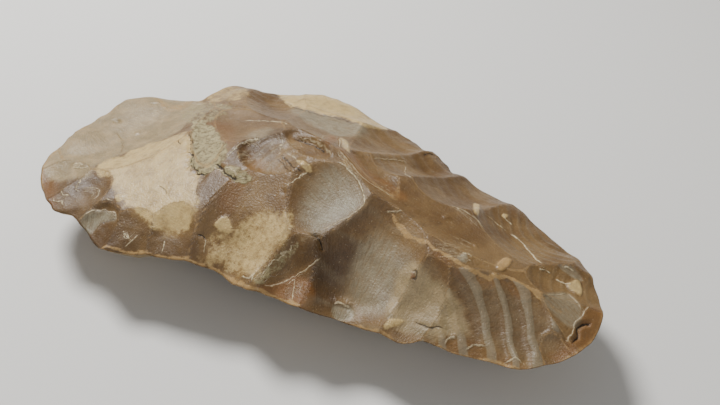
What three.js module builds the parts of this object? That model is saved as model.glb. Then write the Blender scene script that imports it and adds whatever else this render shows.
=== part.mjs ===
// A knapped flint hand axe lying on its flatter face. Millimetres, +Z up, the
// pointed end towards +X, the origin at the middle of its box on the table.
//
// The axe is one solid: an upper and a lower face that meet in a sharp rim. Each
// face is a low dome, and each flake that was struck off it has left a scar, a
// shallow bowl with an oval outline. Where scars overlap the deeper one wins, so
// the ridges between scars come of themselves. The lower face is cut level where
// it would pass the table, which leaves the small flat that the axe rests on.

import * as THREE from 'three';

// Driving dimensions
const rimHeight = 16;          // the sharp rim above the table
const rimRoom = 0.5;           // stone outside the rim's corners, which the scars take back
const upperRise = 15.5;        // the upper dome above the rim
const upperFullness = 1.5;     // 1 is a cone, 2 a ball
const buttThinning = 0.3;      // share of that rise that the blunt end lacks
const buttThinFrom = -5;       // x where the thinning starts
const buttThinTo = -70;        // x where it is complete
const lowerDrop = 18.2;        // the lower dome below the rim, 2.2 of it cut off by the table
const lowerFullness = 1.9;
const eggHalfLength = 71;      // the smooth egg that both domes follow away from the rim
const eggHalfWidth = 36.5;
const eggTaper = 0.17;         // the half width lost for each mm towards the point
const eggBow = 0.0012;         // and for each square mm
const eggUntil = 0.45;         // share of the way out where the true rim starts to show
const rimFrom = 0.95;          // and where it has replaced the egg
const fadeFrom = 0.72;         // share of the way out where scars start to shallow
const rimKeep = 0.2;           // share of its depth that a scar keeps at the rim
const rimSway = 0.45;          // and the share by which it pushes the whole edge up or down
const columns = 156;           // lines of points round the body, from its spine to the rim
const rows = 15;               // cells along each line
const spineReach = 54;         // half the length of the spine, in the middle of the plan
const rays = 720;              // rays on which each half of the rim is found
const rayBlur = 5;             // neighbours on both sides that a ray is averaged with
const thinShare = 0.2;         // least share of a cell that a triangle may have
const searchFrom = 0.8;        // share of the blank's radius where the search for the rim starts
const searchTo = 1.02;         // and where it gives up
const searchSteps = 110;

// The rim seen from above: its corners and hollows in order, [x, y]
const rimCorners = [
  [69.7, 3], [69, -5], [65.5, -11.3], [61, -15.5], [54, -17], [48.5, -19], [42, -20.5],
  [37, -23.5], [26, -23.8], [15.5, -28], [9, -28.7], [4, -30.8], [-4, -29.2], [-11, -31.2],
  [-18.5, -33.5], [-25, -35.3], [-32, -38], [-45, -34.8], [-50, -36], [-64.5, -26.5],
  [-67.5, -18], [-69.5, -11], [-69.5, 2], [-69.5, 6], [-64.5, 11.5], [-60, 13], [-52, 17.5],
  [-51, 22.5], [-48.5, 28], [-40.5, 29.3], [-36, 33], [-31, 34.8], [-23, 38.6], [-4, 35.8],
  [5, 35], [10, 32.6], [17.5, 31.3], [20.5, 29], [28, 27.7], [46.5, 23], [63, 13.5],
];

// The scars of the upper face. Each starts at a point on or outside the rim where the
// blow fell, and runs from there in a direction (degrees from +X towards +Y). Hard is
// 2 for a plain bowl; more gives a flat floor that ends in a step, as a hinged flake does.
const scar = (name, at, toward, long, wide, deep, hard = 2) => (
  { name, at, toward: THREE.MathUtils.degToRad(toward), long, wide, deep, hard });

const upperScars = [
  scar('butt facet', [-75, -4], 6, 39, 42, 3.2),
  scar('butt far side', [-66, 17], 318, 30, 20, 2.4),
  scar('near rim, butt corner', [-62, -36], 58, 18, 14, 2.0),
  scar('near rim, second', [-50, -39], 74, 18, 14, 2.0),
  scar('near rim, third', [-35, -42], 100, 13.5, 11, 3.0, 3),
  scar('near rim, fourth', [-27, -41], 95, 14, 14, 2.0),
  scar('near rim, fifth', [-17, -37], 104, 15, 12, 2.0),
  scar('cream facet', [-4, -36], 92, 30, 20, 2.7),
  scar('orange facet', [10, -33], 80, 18, 12, 3.4),
  scar('deep scoop', [25, -34], 94, 34, 25, 7.0),
  scar('scoop right side', [36, -29], 84, 22, 18, 4.4),
  scar('rippled flake', [31, -31], 33, 46, 31, 4.6),
  scar('point, near side', [69, -14], 140, 14, 10, 3.0),
  scar('point, end', [74, -1], 176, 17, 13, 2.0),
  scar('point, far side', [70, 11], 205, 20, 12, 2.4),
  scar('far rim, sixth', [52, 27], 238, 26, 26, 3.2),
  scar('far rim, fifth', [34, 32], 248, 30, 18, 3.4),
  scar('far rim, fourth', [19, 36], 256, 34, 16, 3.4),
  scar('far rim, chip', [20, 34], 240, 9, 9, 2.6, 4),
  scar('far rim, third', [6, 40], 262, 34, 18, 3.6),
  scar('fan', [-32, 31], 330, 46, 20, 3.4),
  scar('far rim, pale', [-18, 42], 280, 18, 34, 2.6),
  scar('far rim, first', [-40, 35], 318, 34, 20, 3.0),
  scar('brown facet', [-38, 8], 345, 27, 15, 1.8),
  scar('crust trough', [-41, 11], 310, 30, 9, 1.0),
  scar('lens', [19.5, -8.5], 180, 20.5, 19, 3.3),
  scar('hinge, lower', [-1, -4], 172, 18, 14, 2.2, 5),
  scar('hinge, upper', [3, 1], 164, 16, 8, 1.9, 5),
  scar('far flank', [52, 4], 180, 46, 15, 2.4),
  scar('crest slope', [30, -1], 158, 32, 10, 2.2),
];

// The lower face has a ring of large scars and a ring of small ones over it, spread
// round the rim and varied by a fixed scatter. A pair is the least and what is added.
const lowerRings = [
  { count: 9, seed: 11, outside: 4, spread: 40, long: [34, 14], wide: [24, 8], deep: [3.2, 1.6] },
  { count: 13, seed: 21, outside: 3, spread: 50, long: [15, 12], wide: [11, 8], deep: [2.2, 1.4] },
];
const ringUneven = 0.7;        // how far a scar of a ring strays, in shares of its spacing
const ringPull = [0.75, 1.9];  // flakes run in across the axe more than along it

const turn = 2 * Math.PI;
const wrap = (angle) => ((angle % turn) + turn) % turn;
const mix = THREE.MathUtils.lerp;
const smooth = (from, to, value) => {
  const share = THREE.MathUtils.clamp((value - from) / (to - from), 0, 1);
  return share * share * (3 - 2 * share);
};

// A fixed scatter: the fraction left by a large multiple of a sine, from 0 to 1
const scatter = (index, seed) => {
  const value = Math.sin(index * 12.9898 + seed * 78.233) * 43758.5453;
  return value - Math.floor(value);
};

// The rim's corners by angle, with the slope of the radius at each one
const corners = rimCorners
  .map(([x, y]) => ({ angle: wrap(Math.atan2(y, x)), radius: Math.hypot(x, y) + rimRoom }))
  .sort((a, b) => a.angle - b.angle);
corners.forEach((corner, i) => {
  const before = corners[(i + corners.length - 1) % corners.length];
  const after = corners[(i + 1) % corners.length];
  corner.slope = (after.radius - before.radius) / wrap(after.angle - before.angle);
});

// Radius of the blank at an angle: a cubic from corner to corner that keeps their slopes
function blankRadius(angle) {
  const here = wrap(angle);
  const i = corners.findLastIndex((corner) => corner.angle <= here);
  const from = corners.at(i);
  const to = corners[(i + 1) % corners.length];
  const gap = wrap(to.angle - from.angle);
  const s = wrap(here - from.angle) / gap;
  return from.radius * (1 + 2 * s) * (1 - s) ** 2 + from.slope * gap * s * (1 - s) ** 2
    + to.radius * s * s * (3 - 2 * s) + to.slope * gap * s * s * (s - 1);
}

// How far out a point lies, 0 at the middle and 1 at the rim: by the egg inside,
// by the true rim near it
function outwards(x, y) {
  const byRim = Math.hypot(x, y) / blankRadius(Math.atan2(y, x));
  const halfWidth = eggHalfWidth - eggTaper * x - eggBow * x * x;
  const byEgg = Math.hypot(x / eggHalfLength, y / halfWidth);
  return mix(byEgg, byRim, smooth(eggUntil, rimFrom, byRim));
}

// Depth of the deepest scar at a point; each is deep · (1 − q^hard) within its oval,
// where q is 0 at the oval's middle and 1 on its outline
function scarDepth(x, y, scars) {
  let deepest = 0;
  for (const { at, toward, long, wide, deep, hard } of scars) {
    const along = (x - at[0]) * Math.cos(toward) + (y - at[1]) * Math.sin(toward) - long / 2;
    const across = (y - at[1]) * Math.cos(toward) - (x - at[0]) * Math.sin(toward);
    const q = Math.hypot(along / (long / 2), across / (wide / 2));
    deepest = Math.max(deepest, deep * (1 - q ** hard));
  }
  return deepest;
}

// Both faces sway together near the rim: down under a scar of the upper face and up
// over one of the lower, which gives the winding edge of a tool knapped from both sides
function face(x, y) {
  const out = outwards(x, y);
  const upperScar = scarDepth(x, y, upperScars);
  const lowerScar = scarDepth(x, y, lowerScars);
  const sway = rimSway * (lowerScar - upperScar) * smooth(fadeFrom, 1, out);
  const keep = 1 - (1 - rimKeep) * smooth(fadeFrom, 1, out);
  const rise = upperRise * (1 - buttThinning * smooth(buttThinFrom, buttThinTo, x));
  const upperDome = rimHeight + sway + rise * (1 - out ** upperFullness);
  const lowerDome = rimHeight + sway - lowerDrop * (1 - out ** lowerFullness);
  return { upper: upperDome - upperScar * keep, lower: Math.max(0, lowerDome + lowerScar * keep) };
}

// The scars of one ring: each blow falls just outside the rim and runs inwards
function ringScars({ count, seed, outside, spread, long, wide, deep }) {
  const pick = (pair, index, offset) => pair[0] + pair[1] * scatter(index, seed + offset);
  return Array.from({ length: count }, (_, i) => {
    const angle = turn * (i + ringUneven * (scatter(i, seed) - 0.5)) / count;
    const radius = blankRadius(angle) + outside;
    const x = radius * Math.cos(angle);
    const y = radius * Math.sin(angle);
    const inwards = THREE.MathUtils.radToDeg(Math.atan2(-y * ringPull[1], -x * ringPull[0]));
    const toward = inwards + spread * (scatter(i, seed + 1) - 0.5);
    return scar('ring', [x, y], toward, pick(long, i, 2), pick(wide, i, 3), pick(deep, i, 4));
  });
}

const lowerScars = lowerRings.flatMap(ringScars);

// The radius where the two faces meet: out along a ray to the first step at which the
// upper face is no longer above the lower one, then by proportion inside that step
function rimRadius(angle) {
  const blank = blankRadius(angle);
  const [from, to] = [searchFrom * blank, searchTo * blank];
  const gapAt = (r) => {
    const { upper, lower } = face(r * Math.cos(angle), r * Math.sin(angle));
    return upper - lower;
  };
  let inner = from;
  let innerGap = gapAt(from);
  for (let step = 1; step <= searchSteps; step += 1) {
    const outer = mix(from, to, step / searchSteps);
    const outerGap = gapAt(outer);
    if (outerGap <= 0) return mix(inner, outer, innerGap / (innerGap - outerGap));
    [inner, innerGap] = [outer, outerGap];
  }
  return to;
}

// Points of the rim from one angle to another, spread evenly by the length of the rim
function rimStretch(from, to, steps) {
  const angleAt = (i) => mix(from, to, i / rays);
  const found = Array.from({ length: rays + 2 * rayBlur + 1 }, (_, i) => (
    rimRadius(angleAt(i - rayBlur))));
  const line = Array.from({ length: rays + 1 }, (_, i) => {
    const near = found.slice(i, i + 2 * rayBlur + 1);
    const radius = near.reduce((sum, value) => sum + value) / near.length;
    return [radius * Math.cos(angleAt(i)), radius * Math.sin(angleAt(i))];
  });
  const lengths = [0];
  for (let i = 1; i <= rays; i += 1) {
    const step = Math.hypot(line[i][0] - line[i - 1][0], line[i][1] - line[i - 1][1]);
    lengths.push(lengths[i - 1] + step);
  }
  return Array.from({ length: steps }, (_, step) => {
    const length = (lengths[rays] * step) / steps;
    const after = lengths.findIndex((value) => value > length);
    const part = (length - lengths[after - 1]) / (lengths[after] - lengths[after - 1]);
    return [0, 1].map((axis) => mix(line[after - 1][axis], line[after][axis], part));
  });
}

// Points in plan, on straight lines from the spine to the rim. The two halves of the rim
// meet the same points of the spine, which lie closer together towards its ends.
function planPoints() {
  const half = columns / 2;
  const rim = [...rimStretch(0, turn / 2, half), ...rimStretch(turn / 2, turn, half)];
  const spine = (column) => [spineReach * Math.cos((turn * column) / columns), 0];
  const points = Array.from({ length: half + 1 }, (_, column) => spine(column));
  for (let row = 1; row <= rows; row += 1) {
    rim.forEach((end, column) => {
      const start = spine(column);
      points.push([0, 1].map((axis) => mix(start[axis], end[axis], row / rows)));
    });
  }
  return points;
}

// The number of a plan point, from its row and its column
function pointAt(row, column) {
  const round = column % columns;
  if (row === 0) return Math.min(round, columns - round);
  return columns / 2 + 1 + (row - 1) * columns + round;
}

// Twice the area of a triangle in plan, more than 0 if its corners run anticlockwise
function planArea([ax, ay], [bx, by], [cx, cy]) {
  return (bx - ax) * (cy - ay) - (cx - ax) * (by - ay);
}

// The two triangles of a cell. It is cut along the diagonal that lies closer to the body,
// unless that leaves a triangle that is too thin.
function cutCell(cell, points, side) {
  const plan = cell.map((i) => points[i]);
  const miss = (i, j) => {
    const middle = [0, 1, 2].map((axis) => (plan[i][axis] + plan[j][axis]) / 2);
    return Math.abs(middle[2] - face(middle[0], middle[1])[side]);
  };
  const cuts = [[0, 1, 2, 3], [1, 2, 3, 0]].map(([a, b, c, d]) => {
    const areas = [planArea(plan[a], plan[b], plan[c]), planArea(plan[a], plan[c], plan[d])];
    const least = Math.min(...areas) / (areas[0] + areas[1]);
    const triangles = [[a, b, c], [a, c, d]].map((corners) => corners.map((i) => cell[i]));
    return { least, miss: miss(a, c), triangles };
  });
  const thin = cuts.some(({ least }) => least < thinShare);
  cuts.sort((one, other) => (thin ? other.least - one.least : one.miss - other.miss));
  return cuts[0].triangles;
}

// The closed skin: the upper face, and the lower face on the same plan points, which
// shares the upper one's points along the rim
function skin() {
  const plan = planPoints();
  const rimStart = pointAt(rows, 0);
  const upper = plan.map(([x, y], i) => {
    const level = face(x, y);
    return [x, y, i < rimStart ? level.upper : (level.upper + level.lower) / 2];
  });
  const lower = upper.map(([x, y, z], i) => [x, y, i < rimStart ? face(x, y).lower : z]);
  const triangles = [];
  for (let row = 0; row < rows; row += 1) {
    for (let column = 0; column < columns; column += 1) {
      const cell = [[0, 0], [1, 0], [1, 1], [0, 1]].map(([r, c]) => pointAt(row + r, column + c));
      triangles.push(...cutCell(cell, upper, 'upper'));
      for (const corners of cutCell(cell, lower, 'lower')) {
        triangles.push(corners.map((i) => (i < rimStart ? i + plan.length : i)).reverse());
      }
    }
  }
  const geometry = new THREE.BufferGeometry();
  const points = [...upper, ...lower.slice(0, rimStart)];
  geometry.setAttribute('position', new THREE.Float32BufferAttribute(points.flat(), 3));
  geometry.setIndex(triangles.flat());
  return geometry;
}

// The solid, with the middle of its box brought over the origin
function handAxe() {
  const geometry = skin();
  geometry.computeBoundingBox();
  const middle = geometry.boundingBox.getCenter(new THREE.Vector3());
  geometry.translate(-middle.x, -middle.y, 0);
  geometry.computeVertexNormals();
  const flint = new THREE.MeshStandardMaterial({ color: 0x8a7358, roughness: 0.45, metalness: 0 });
  const mesh = new THREE.Mesh(geometry, flint);
  mesh.name = 'hand_axe';
  return mesh;
}

const group = new THREE.Group();
group.add(handAxe());

export default group;
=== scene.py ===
import math
import bpy
import numpy as np
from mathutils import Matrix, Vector


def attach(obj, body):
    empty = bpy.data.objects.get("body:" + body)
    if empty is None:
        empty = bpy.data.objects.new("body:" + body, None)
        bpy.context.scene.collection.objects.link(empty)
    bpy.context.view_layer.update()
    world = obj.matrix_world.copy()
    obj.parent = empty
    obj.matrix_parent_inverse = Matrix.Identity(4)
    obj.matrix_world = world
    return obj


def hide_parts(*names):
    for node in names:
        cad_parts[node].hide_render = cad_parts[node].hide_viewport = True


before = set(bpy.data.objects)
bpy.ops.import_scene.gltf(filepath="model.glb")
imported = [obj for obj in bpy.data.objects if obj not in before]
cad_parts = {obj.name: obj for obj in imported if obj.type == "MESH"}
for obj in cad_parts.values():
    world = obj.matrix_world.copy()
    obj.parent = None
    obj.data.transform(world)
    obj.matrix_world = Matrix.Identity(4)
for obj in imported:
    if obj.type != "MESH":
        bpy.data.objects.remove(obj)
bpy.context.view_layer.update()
print("loaded the frame")

mm = 0.001

# The stone, in mm on the plan: its blank, the scars struck off it and the marks left on it.
axe = {
    "rimHeight": 16.0, "rimRoom": 0.5,
    "upperRise": 15.5, "upperFullness": 1.5,
    "buttThinning": 0.3, "buttThinFrom": -5.0, "buttThinTo": -70.0,
    "lowerDrop": 18.2, "lowerFullness": 1.9,
    "eggHalfLength": 71.0, "eggHalfWidth": 36.5, "eggTaper": 0.17, "eggBow": 0.0012,
    "eggUntil": 0.45, "rimFrom": 0.95, "fadeFrom": 0.72, "rimKeep": 0.2, "rimSway": 0.45,
    "rimRays": 2880, "rayBlur": 6, "spineReach": 54.0,
    "cellsRound": 600, "cellsOut": 79, "thinShare": 0.2,
    "ridgeWear": 0.10,      # mm by which old ridges are rounded over
    "trimWear": 0.05, "ridgeLead": 0.32, "calmFrom": 0.94, "edgeFrom": 0.955,
    "searchFrom": 0.80, "searchTo": 1.02, "searchSteps": 111,
    "ringUneven": 0.7, "ringPull": (0.75, 1.9),   # flakes run in across the stone more than along it
    "waves": {"strayGap": 9.0, "stray": 0.35, "second": 0.3, "secondTurn": 0.9, "calmLead": 0.35,
              "hackleFan": 22.0, "hackleGap": 9.0, "blowFan": 38.0, "blowGap": 2.2},
    "warp": 0.35, "warpGap": 2.4, "wobbleGap": 1.1, "roughGap": 3.2, "grooveHalf": 0.7, "lineReach": 1.6,
    # lumps of the crust and swells of the stone: width of the widest and height
    "crustLumps": (1.6, 0.22), "crustGrit": (0.9, 0.12), "swell": (5.0, 0.05), "grit": (1.4, 0.02),
    "underSwell": (4.0, 0.06),
    # finishes of the lower face: level of the noise where each starts, and strength
    "underPaint": {"cream": (0.22, 0.9), "crust": (0.36, 0.9), "veil": (0.05, 0.7), "rust": (0.2, 0.5),
                   "umber": (0.05, 0.5), "olive": (0.1, 0.7)},
    "underGap": 22.0, "underBorder": 0.12,
    # corners and hollows of the rim, in order round it
    "rimCorners": [
        (69.7, 3), (69, -5), (65.5, -11.3), (61, -15.5), (54, -17), (48.5, -19), (42, -20.5),
        (37, -23.5), (26, -23.8), (15.5, -28), (9, -28.7), (4, -30.8), (-4, -29.2), (-11, -31.2),
        (-18.5, -33.5), (-25, -35.3), (-32, -38), (-45, -34.8), (-50, -36), (-64.5, -26.5),
        (-67.5, -18), (-69.5, -11), (-69.5, 2), (-69.5, 6), (-64.5, 11.5), (-60, 13), (-52, 17.5),
        (-51, 22.5), (-48.5, 28), (-40.5, 29.3), (-36, 33), (-31, 34.8), (-23, 38.6), (-4, 35.8),
        (5, 35), (10, 32.6), (17.5, 31.3), (20.5, 29), (28, 27.7), (46.5, 23), (63, 13.5),
    ],
    # where the blow fell, direction, length, width, depth, hardness of the step at the end;
    # then the gap between ripples, their height, and the height of the hackles
    "upperScars": {
        "buttFacet": (-75, -4, 6, 39, 42, 3.2, 2, 0, 0, 0),
        "buttFar": (-66, 17, 318, 30, 20, 2.4, 2, 0, 0, 0),
        "nearRimCorner": (-62, -36, 58, 18, 14, 2.0, 2, 3.0, 0.03, 0.04),
        "nearRimSecond": (-50, -39, 74, 18, 14, 2.0, 2, 3.0, 0.03, 0.04),
        "nearRimThird": (-35, -42, 100, 13.5, 11, 3.0, 3, 0, 0, 0),
        "nearRimFourth": (-27, -41, 95, 14, 14, 2.0, 2, 2.5, 0.03, 0.04),
        "nearRimFifth": (-17, -37, 104, 15, 12, 2.0, 2, 2.5, 0.03, 0.04),
        "creamFacet": (-4, -36, 92, 30, 20, 2.7, 2, 0, 0, 0.02),
        "orangeFacet": (10, -33, 80, 18, 12, 3.4, 2, 0, 0, 0.02),
        "deepScoop": (25, -34, 94, 34, 25, 7.0, 2, 6.0, 0.06, 0.04),
        "scoopRight": (36, -29, 84, 22, 18, 4.4, 2, 5.0, 0.05, 0.03),
        "rippledFlake": (31, -31, 33, 46, 31, 4.6, 2, 4.6, 0.34, 0.07),
        "pointNear": (69, -14, 140, 14, 10, 3.0, 2, 0, 0, 0.03),
        "pointEnd": (74, -1, 176, 17, 13, 2.0, 2, 0, 0, 0.03),
        "pointFar": (70, 11, 205, 20, 12, 2.4, 2, 2.4, 0.04, 0.03),
        "farSixth": (52, 27, 238, 26, 26, 3.2, 2, 2.1, 0.06, 0.05),
        "farFifth": (34, 32, 248, 30, 18, 3.4, 2, 3.4, 0.04, 0.05),
        "farFourth": (19, 36, 256, 34, 16, 3.4, 2, 3.0, 0.05, 0.05),
        "farChip": (20, 34, 240, 9, 9, 2.6, 4, 0, 0, 0),
        "farThird": (6, 40, 262, 34, 18, 3.6, 2, 3.8, 0.05, 0.05),
        "fan": (-32, 31, 330, 46, 20, 3.4, 2, 0, 0, 0.1),
        "farPale": (-18, 42, 280, 18, 34, 2.6, 2, 0, 0, 0.04),
        "farFirst": (-40, 35, 318, 34, 20, 3.0, 2, 3.0, 0.04, 0.07),
        "brownFacet": (-38, 8, 345, 27, 15, 1.8, 2, 0, 0, 0.04),
        "crustTrough": (-41, 11, 310, 30, 9, 1.0, 2, 0, 0, 0),
        "lens": (19.5, -8.5, 180, 20.5, 19, 3.3, 2, 0, 0, 0.05),
        "hingeLower": (-1, -4, 172, 18, 14, 2.2, 5, 2.6, 0.08, 0.03),
        "hingeUpper": (3, 1, 164, 16, 8, 1.9, 5, 0, 0, 0.03),
        "farFlank": (52, 4, 180, 46, 15, 2.4, 2, 0, 0, 0.02),
        "crestSlope": (30, -1, 158, 32, 10, 2.2, 2, 1.6, 0.06, 0.02),
    },
    "lowerRings": [
        {"count": 9, "seed": 11, "outside": 4, "spread": 40, "long": (34, 14), "wide": (24, 8),
            "deep": (3.2, 1.6), "ripple": (3.6, 0.07, 0.06)},
        {"count": 13, "seed": 21, "outside": 3, "spread": 50, "long": (15, 12), "wide": (11, 8),
            "deep": (2.2, 1.4), "ripple": (2.6, 0.06, 0.05)},
    ],
    "rimTrim": {"count": 74, "outside": 1.2, "spread": 70, "long": (2.5, 5.5), "wide": (2.5, 6.5),
        "deep": (0.2, 1.0), "reach": 0.25},
    # way of the line, rise on its left, how far the rise dies away, groove, tone and teeth;
    # tone runs from -1, a shadowed crack, to 1, a white bruised edge; teeth is how far it wanders
    "marks": {
        "toothedStep": ([(-18.5, -9.5), (-18.6, -6), (-18.6, -3), (-17.6, -0.5), (-16.3, 1.2)], 0.45,
            2.5, 0.05, 1.0, 0.45),
        "zigzag": ([(-8.6, -2.7), (-9.4, -1.6), (-9.8, 0), (-10.4, 1), (-11, 2.6), (-12.4, 3.2)], 0.25,
            2.0, 0.05, 0.95, 0.4),
        "hingeLip": ([(-10.8, 5.2), (-7, 6.2), (-4, 6.1), (-1.5, 5.2), (1, 3.8), (3, 2), (3.9, 0.6)],
            0.8, 3.5, 0.0, 0.45, 0.1),
        "hingeShadow": ([(-10.2, 4.9), (-7, 5.5), (-4, 5.4), (-1.5, 4.5), (0.6, 3.3)], 0.0, 1, 0.5, -1.0,
            0.1),
        "terraceOne": ([(-9.5, -1.8), (-6, -2.7), (-3.2, -4.5), (-0.6, -5.6), (1.3, -5.2)], 0.35, 1.6,
            0.15, -0.7, 0.1),
        "terraceTwo": ([(-9.2, -3.4), (-6, -3.9), (-3.4, -6), (-0.6, -7.4)], 0.3, 1.5, 0.1, -0.5, 0.15),
        "terraceThree": ([(-8.2, -0.6), (-5, -1.4), (-2.6, -3), (-0.8, -3.9)], 0.25, 1.2, 0.05, 0.5,
            0.15),
        "terraceFour": ([(-7.6, 0.8), (-4, -0.2), (-1.2, -1.8), (0.8, -3.2)], 0.15, 1.2, 0.05, 0.3, 0.2),
        "whiteStep": ([(1.6, -4.4), (0.6, -6.2), (0.1, -8.8), (-1.2, -10)], 0.2, 2.0, 0.05, 0.95, 0.35),
        "middleEdge": ([(-19.6, -14), (-20, -17.6), (-17.6, -21), (-16.4, -25)], 0.1, 1.0, 0.05, -0.35,
            0.6),
        "crack": ([(-20.6, -11.3), (-17.6, -11.6), (-16, -12.6), (-13, -13.1), (-11.6, -12.6)], 0.7, 2.2,
            0.7, -1.0, 0.2),
        "crackLip": ([(-20.2, -12.4), (-17.4, -12.2), (-14.8, -11.8), (-12.6, -12.3), (-10.2, -11.7)],
            0.2, 1.0, 0.0, 1.0, 0.5),
        "brownRidge": ([(-28.5, 8), (-24, 8.7), (-20, 9), (-15, 8.5), (-13, 8)], 0.15, 1.5, 0.0, 0.7,
            0.15),
        "arcOne": ([(-15, -4.4), (-16.2, -6.6), (-15.7, -9.4)], 0.2, 1.2, 0.0, 0.45, 0.1),
        "arcTwo": ([(-13, -5.4), (-14.3, -7.2), (-13.8, -9.4)], 0.2, 1.2, 0.0, 0.5, 0.1),
        "arcThree": ([(-16.4, -3.6), (-17.4, -5.6), (-17, -8)], 0.15, 1.0, 0.0, 0.3, 0.1),
        "lensRim": ([(3.6, 1), (8, 0.6), (11, -0.2), (14, -2), (16.4, -4.7), (15.6, -7), (13.5, -10.3),
            (12.2, -13), (11.4, -15.6)], 0.25, 1.6, 0.0, 0.9, 0.15),
        "notchCrescent": ([(10.2, -16.1), (12.3, -15.5), (14.1, -16.6)], 0.3, 1.5, 1.1, -1.0, 0.05),
        "facetBorder": ([(14.3, -17), (13.6, -19.5), (11, -22.6), (9, -25.6), (6.2, -28.6)], 0.25, 2.0,
            0.0, 0.65, 0.15),
        "rubbleLine": ([(8.3, -18.6), (7, -21.5), (6.1, -24.5), (5.6, -28.5)], 0.2, 1.5, 0.15, 0.7, 0.9),
        "facetLineOne": ([(11, -22.8), (12.2, -25.2), (13.7, -27.6)], 0.08, 1.0, 0.05, 0.6, 0.1),
        "facetLineTwo": ([(12.6, -22.4), (13.4, -23.8), (13.8, -25.4)], 0.0, 1.0, 0.05, 0.35, 0.1),
        "hookChip": ([(0.8, -28.7), (3, -29), (3.9, -27.7), (4.4, -29.6)], 0.3, 1.0, 0.0, 1.0, 0.1),
        "rimArc": ([(20.3, -22.1), (21.3, -21), (23.5, -20.2)], 0.5, 1.5, 0.0, 1.0, 0.05),
        "nearScratch": ([(-20, -30), (-19.3, -31), (-18.4, -32.4)], 0.05, 1.0, 0.05, 0.9, 0.05),
        "nearScratchTwo": ([(-11, -26), (-10.5, -27), (-9.8, -28.4)], 0.1, 1.0, 0.05, 0.8, 0.15),
        "nearPit": ([(-13, -26.4), (-12, -25.7), (-11.2, -26)], 0.2, 0.8, 0.3, -0.8, 0.1),
        "farRidge": ([(42, 14.6), (45, 14.1), (48, 12.2), (51, 9.6), (53.8, 7.9)], 0.35, 2.0, 0.0, 1.0,
            0.1),
        "farThinOne": ([(29, 10.2), (31, 9.4), (36, 9.6), (39.8, 8.2)], 0.12, 1.0, 0.0, 0.5, 0.1),
        "farThinTwo": ([(30, 8.7), (34, 8.9), (38.4, 7.8)], 0.08, 1.0, 0.0, 0.3, 0.1),
        "farThinThree": ([(38.4, 20), (39.4, 18.6), (41.6, 17.9)], 0.15, 1.0, 0.0, 0.9, 0.1),
        "farShelf": ([(35.5, 14.6), (39, 15), (42, 14.6)], 0.2, 1.5, 0.0, 0.5, 0.15),
        "tipShardOne": ([(53.6, 5.9), (54.7, 7), (55.9, 7.3)], 0.25, 1.0, 0.0, 1.0, 0.05),
        "tipShardTwo": ([(57.1, 6.9), (58.8, 7.2), (60.4, 7.8)], 0.25, 1.0, 0.0, 1.0, 0.05),
        "tipShardThree": ([(57.2, 11.1), (58.3, 11.6), (59.3, 11.7)], 0.2, 1.0, 0.0, 1.0, 0.05),
        "tipNotch": ([(66.6, -5.6), (66.8, -3), (66.2, -1.2), (66.8, 0.7), (67.9, 2)], 0.3, 1.5, 0.6,
            -1.0, 0.1),
        "tipEdge": ([(65.5, 5.4), (65.7, 2.5), (65.2, 0), (65.8, -3.2), (65.6, -6.4)], 0.25, 2.0, 0.0,
            0.6, 0.15),
        "tipFacetSide": ([(57.4, -0.9), (59, 2.4), (60.6, 5.2)], 0.15, 1.5, 0.0, 0.4, 0.05),
        "tipFacetTop": ([(60.6, 5.2), (63, 4.2), (65.2, 2.5)], 0.15, 1.5, 0.0, 0.4, 0.05),
        "oliveCrack": ([(37.4, -17.6), (40.8, -17.4), (43.9, -16.2)], 0.1, 1.0, 0.2, -0.7, 0.1),
        "smallChipEdge": ([(32.3, -11), (33.5, -10.8), (34.1, -11.7), (33, -12.5)], 0.25, 0.8, 0.1, -0.6,
            0.1),
        "scoopTop": ([(20.8, -3.2), (22.4, -2.2), (24.2, -0.9)], 0.2, 1.5, 0.0, 0.5, 0.1),
        "rippleChipOne": ([(39.4, -3.2), (40.6, -2.6), (42, -2.6)], 0.15, 0.7, 0.0, 0.8, 0.1),
        "rippleChipTwo": ([(39.8, -4.2), (41, -3.6), (42.4, -3.6)], 0.15, 0.7, 0.0, 0.6, 0.1),
        "rimStepOne": ([(45.2, -18.8), (45.3, -17.2), (46.6, -16.2)], 0.3, 1.2, 0.0, 0.8, 0.15),
        "rimStepTwo": ([(49.3, -17.6), (50, -15.6), (52.6, -14.6)], 0.3, 1.2, 0.0, 0.6, 0.2),
        "rimStepThree": ([(57, -15.8), (58.2, -14.4), (60.4, -14)], 0.25, 1.0, 0.0, 0.6, 0.2),
        "buttArc": ([(-49.7, -19), (-50, -15), (-52, -11), (-56, -7.6), (-61, -6)], 0.3, 3.0, 0.0, -0.2,
            0.2),
        "wrinkleOne": ([(-58, -22.8), (-56.4, -21.6), (-55, -21.7), (-53.2, -22.6)], 0.25, 0.8, 0.0, 0.7,
            0.3),
        "wrinkleTwo": ([(-57.4, -23.6), (-55.4, -22.7), (-54, -22.8), (-52.2, -21.8)], 0.25, 0.8, 0.0,
            0.6, 0.3),
        "leftRing": ([(-52, -25.8), (-54.6, -25.4), (-57.4, -26.4), (-59.4, -29)], 0.35, 1.6, 0.0, 0.3,
            0.1),
        "leftRingTwo": ([(-51.6, -28.4), (-54.4, -27), (-56.8, -28.2), (-57.8, -30.6)], 0.2, 1.2, 0.0,
            0.25, 0.1),
        "rosetteOne": ([(-43, -30.4), (-42.4, -28.2), (-44, -26.4), (-46.6, -26.4), (-49, -28)], 0.2,
            1.2, 0.0, 0.5, 0.1),
        "rosetteTwo": ([(-44.2, -29.6), (-44.2, -28), (-46, -27.6), (-47.6, -28.6)], 0.15, 0.8, 0.0, 0.4,
            0.1),
        "whiteChipOne": ([(-51, -25.6), (-50.2, -26.8), (-49.9, -28.6), (-48.2, -28.5)], 0.25, 0.8, 0.0,
            1.0, 0.5),
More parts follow.
